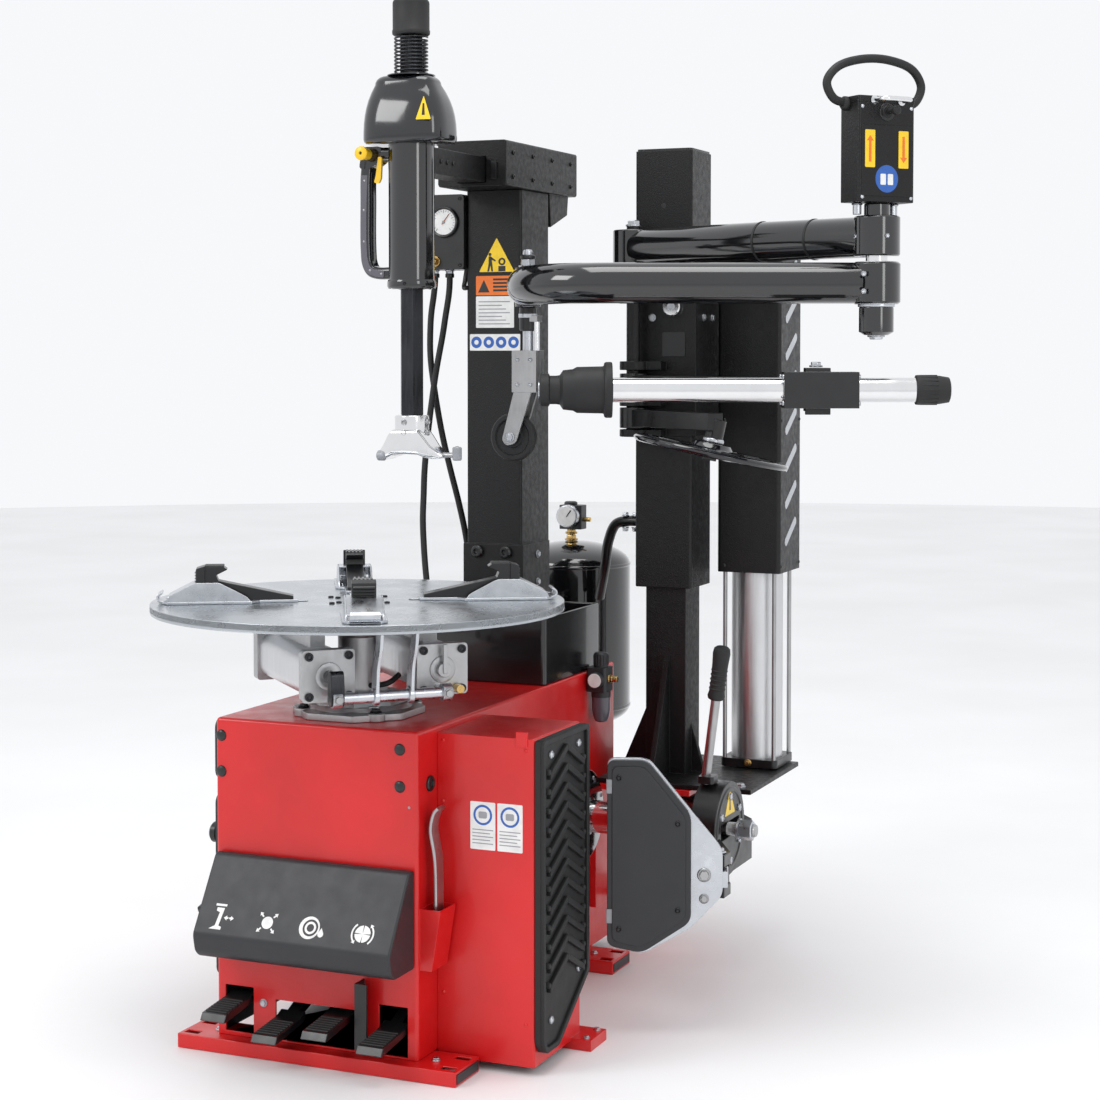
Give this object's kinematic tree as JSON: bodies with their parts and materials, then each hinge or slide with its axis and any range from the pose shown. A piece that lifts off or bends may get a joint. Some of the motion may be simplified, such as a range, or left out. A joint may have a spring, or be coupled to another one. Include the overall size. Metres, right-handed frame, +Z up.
{
  "type": "tire changer machine",
  "caption": "Free-standing workshop machine with a clamping turntable, a tilting mounting head, a bead breaker and a swinging bead-press helper.",
  "frame": {"origin": "middle of the bounding box, on the floor the rails stand on", "axes": "+Z up, +Y from the pedals towards the back, +X towards the bead breaker and helper"},
  "size_m": [1.3678, 1.548, 1.927],
  "materials": {
    "red": "glossy red powder coat",
    "black": "satin black paint",
    "textured": "fine textured black powder coat",
    "gloss": "gloss black paint",
    "gloss_plastic": "polished black plastic",
    "plastic": "moulded charcoal plastic",
    "rubber": "moulded black rubber",
    "zinc": "bright zinc plate",
    "steel": "worn satin steel",
    "chrome": "polished hard chrome",
    "aluminium": "clear anodised and cast aluminium",
    "yellow": "yellow moulded plastic"
  },
  "bodies": {
    "root": {"cabinet": "red", "side_wing": "red", "bead_pad": "rubber", "front_rail": "red", "rear_rail": "red", "pedal_hood": "plastic", "gear_motor": "aluminium", "storage_tray": "plastic", "air_tank": "gloss", "filter_regulator": "plastic", "helper_bracket": "red", "bead_cylinder": "gloss", "helper_column": "textured", "lift_cylinder": "aluminium"},
    "pedal_1": {"pedal_1": "black"},
    "pedal_2": {"pedal_2": "black"},
    "pedal_3": {"pedal_3": "black"},
    "pedal_4": {"pedal_4": "black"},
    "turntable": {"table_disc": "zinc", "table_spindle": "steel", "jaw_cylinder_right": "aluminium", "jaw_cylinder_left": "aluminium"},
    "jaw_right": {"jaw_right": "zinc"},
    "jaw_back": {"jaw_back": "zinc"},
    "jaw_left": {"jaw_left": "zinc"},
    "jaw_front": {"jaw_front": "zinc"},
    "tilt_column": {"tilt_column": "textured", "arm_beam": "textured", "gauge_box": "plastic", "hose_to_tray": "rubber", "hose_to_cabinet": "rubber"},
    "slide_arm": {"arm_bar": "textured", "head_housing": "gloss_plastic", "head_hood": "gloss_plastic", "grip_handle": "gloss_plastic", "shaft_spring": "black"},
    "lock_button": {"lock_button": "yellow"},
    "tool_shaft": {"tool_shaft": "black", "shaft_cap": "rubber", "mount_head": "chrome"},
    "carriage": {"carriage": "textured", "carriage_cover": "textured", "lift_rod": "chrome"},
    "upper_arm": {"upper_arm": "gloss", "control_box": "textured"},
    "fore_arm": {"fore_arm": "gloss"},
    "press_tool": {"press_rod": "zinc"},
    "press_roller": {"press_roller": "rubber"},
    "lower_arm": {"lower_arm": "black"},
    "slide_block": {"slide_block": "black"},
    "centring_bar": {"centring_bar": "chrome"},
    "centring_cone": {"centring_cone": "rubber"},
    "lift_arm": {"lift_arm": "black"},
    "lift_disc": {"lift_disc": "rubber"},
    "control_lever": {"control_lever": "black"},
    "breaker_arm": {"breaker_arm": "black", "breaker_lever": "steel"},
    "breaker_blade": {"breaker_blade": "black"},
    "breaker_rod": {"breaker_rod": "zinc"},
    "tire_lever": {"tire_lever": "steel"}
  },
  "joints": [
    {"name": "pedal_1_hinge", "type": "hinge", "parent": "root", "child": "pedal_1", "pos_m": [-0.47495, -0.439, 0.11], "axis": [1, 0, 0], "range_deg": [0, 6], "stiffness_Nm_per_rad": 8, "springref_deg": -11.46},
    {"name": "pedal_2_hinge", "type": "hinge", "parent": "root", "child": "pedal_2", "pos_m": [-0.37195, -0.439, 0.11], "axis": [1, 0, 0], "range_deg": [0, 6], "stiffness_Nm_per_rad": 8, "springref_deg": -11.46},
    {"name": "pedal_3_hinge", "type": "hinge", "parent": "root", "child": "pedal_3", "pos_m": [-0.27195, -0.439, 0.11], "axis": [1, 0, 0], "range_deg": [0, 6], "stiffness_Nm_per_rad": 8, "springref_deg": -11.46},
    {"name": "pedal_4_hinge", "type": "hinge", "parent": "root", "child": "pedal_4", "pos_m": [-0.16395, -0.439, 0.11], "axis": [1, 0, 0], "range_deg": [0, 6], "stiffness_Nm_per_rad": 8, "springref_deg": -11.46},
    {"name": "turntable_spin", "type": "hinge", "parent": "root", "child": "turntable", "pos_m": [-0.30895, -0.399, 0.7], "axis": [0, 0, 1], "continuous": true},
    {"name": "jaw_right_slide", "type": "slide", "parent": "turntable", "child": "jaw_right", "axis": [-0.866, -0.5, 0], "range_m": [-0.02, 0.085]},
    {"name": "jaw_back_slide", "type": "slide", "parent": "turntable", "child": "jaw_back", "axis": [0.5, -0.866, 0], "range_m": [-0.02, 0.085]},
    {"name": "jaw_left_slide", "type": "slide", "parent": "turntable", "child": "jaw_left", "axis": [0.866, 0.5, 0], "range_m": [-0.02, 0.085]},
    {"name": "jaw_front_slide", "type": "slide", "parent": "turntable", "child": "jaw_front", "axis": [-0.5, 0.866, 0], "range_m": [-0.02, 0.085]},
    {"name": "column_tilt", "type": "hinge", "parent": "root", "child": "tilt_column", "pos_m": [-0.30895, 0.349, 0.656], "axis": [-1, 0, 0], "range_deg": [0, 22]},
    {"name": "head_reach", "type": "slide", "parent": "tilt_column", "child": "slide_arm", "axis": [0, 1, 0], "range_m": [-0.12, 0.12]},
    {"name": "lock_press", "type": "slide", "parent": "slide_arm", "child": "lock_button", "axis": [0, 1, 0], "range_m": [0, 0.006], "stiffness_N_per_m": 800, "springref_m": -0.002},
    {"name": "shaft_drop", "type": "slide", "parent": "slide_arm", "child": "tool_shaft", "axis": [0, 0, 1], "range_m": [-0.19, 0], "deforming": ["shaft_spring"]},
    {"name": "carriage_lift", "type": "slide", "parent": "root", "child": "carriage", "axis": [0, 0, 1], "range_m": [-0.15, 0.15]},
    {"name": "upper_swing", "type": "hinge", "parent": "carriage", "child": "upper_arm", "pos_m": [-0.03895, 0.291, 1.471], "axis": [0, 0, 1], "range_deg": [-20, 10]},
    {"name": "elbow_swing", "type": "hinge", "parent": "upper_arm", "child": "fore_arm", "pos_m": [0.53805, 0.037, 1.386], "axis": [0, 0, 1], "range_deg": [-4, 18]},
    {"name": "press_swivel", "type": "hinge", "parent": "fore_arm", "child": "press_tool", "pos_m": [-0.15295, 0.012, 1.4], "axis": [0, 0, 1], "range_deg": [-60, 60]},
    {"name": "roller_spin", "type": "hinge", "parent": "press_tool", "child": "press_roller", "pos_m": [-0.18295, 0.012, 1.092], "axis": [0, 1, 0], "continuous": true},
    {"name": "lower_swing", "type": "hinge", "parent": "carriage", "child": "lower_arm", "pos_m": [-0.03895, 0.291, 1.19], "axis": [0, 0, 1], "range_deg": [-15, 10]},
    {"name": "block_swivel", "type": "hinge", "parent": "lower_arm", "child": "slide_block", "pos_m": [0.4342, 0.00031, 1.19], "axis": [0, 0, 1], "range_deg": [-15, 15]},
    {"name": "bar_slide", "type": "slide", "parent": "slide_block", "child": "centring_bar", "axis": [0.9191, 0.3939, 0], "range_m": [-0.1, 0.3]},
    {"name": "cone_spin", "type": "hinge", "parent": "centring_bar", "child": "centring_cone", "pos_m": [0.05263, -0.22633, 1.19], "axis": [0.9191, 0.3939, 0], "continuous": true},
    {"name": "lift_arm_swing", "type": "hinge", "parent": "carriage", "child": "lift_arm", "pos_m": [-0.03895, 0.291, 1.124], "axis": [0, 0, 1], "range_deg": [-30, 10]},
    {"name": "lift_disc_spin", "type": "hinge", "parent": "lift_arm", "child": "lift_disc", "pos_m": [0.19305, 0.107, 1.065], "axis": [0.1911, 0.0819, 0.9781], "continuous": true},
    {"name": "control_tilt", "type": "hinge", "parent": "upper_arm", "child": "control_lever", "pos_m": [0.56126, 0.01752, 1.697], "axis": [0.6428, 0.766, 0], "range_deg": [-6, 6], "stiffness_Nm_per_rad": 0.6},
    {"name": "breaker_swing", "type": "hinge", "parent": "root", "child": "breaker_arm", "pos_m": [0.04105, 0.401, 0.29], "axis": [0, 0, 1], "range_deg": [-14, 8]},
    {"name": "blade_swivel", "type": "hinge", "parent": "breaker_arm", "child": "breaker_blade", "pos_m": [0.28005, -0.088, 0.29], "axis": [0, 0, 1], "range_deg": [-45, 10]},
    {"name": "breaker_pull", "type": "slide", "parent": "root", "child": "breaker_rod", "axis": [1, 0, 0], "range_m": [-0.079, 0.045]},
    {"name": "lever_lift_out", "type": "slide", "parent": "root", "child": "tire_lever", "axis": [0, 0, 1], "range_m": [0, 0.25]}
  ],
  "couplings": [
    {"joint": "jaw_back_slide", "follows": "jaw_right_slide", "ratio": 1},
    {"joint": "jaw_left_slide", "follows": "jaw_right_slide", "ratio": 1},
    {"joint": "jaw_front_slide", "follows": "jaw_right_slide", "ratio": 1},
    {"joint": "breaker_pull", "follows": "breaker_swing", "m_per_rad": 0.32}
  ]
}
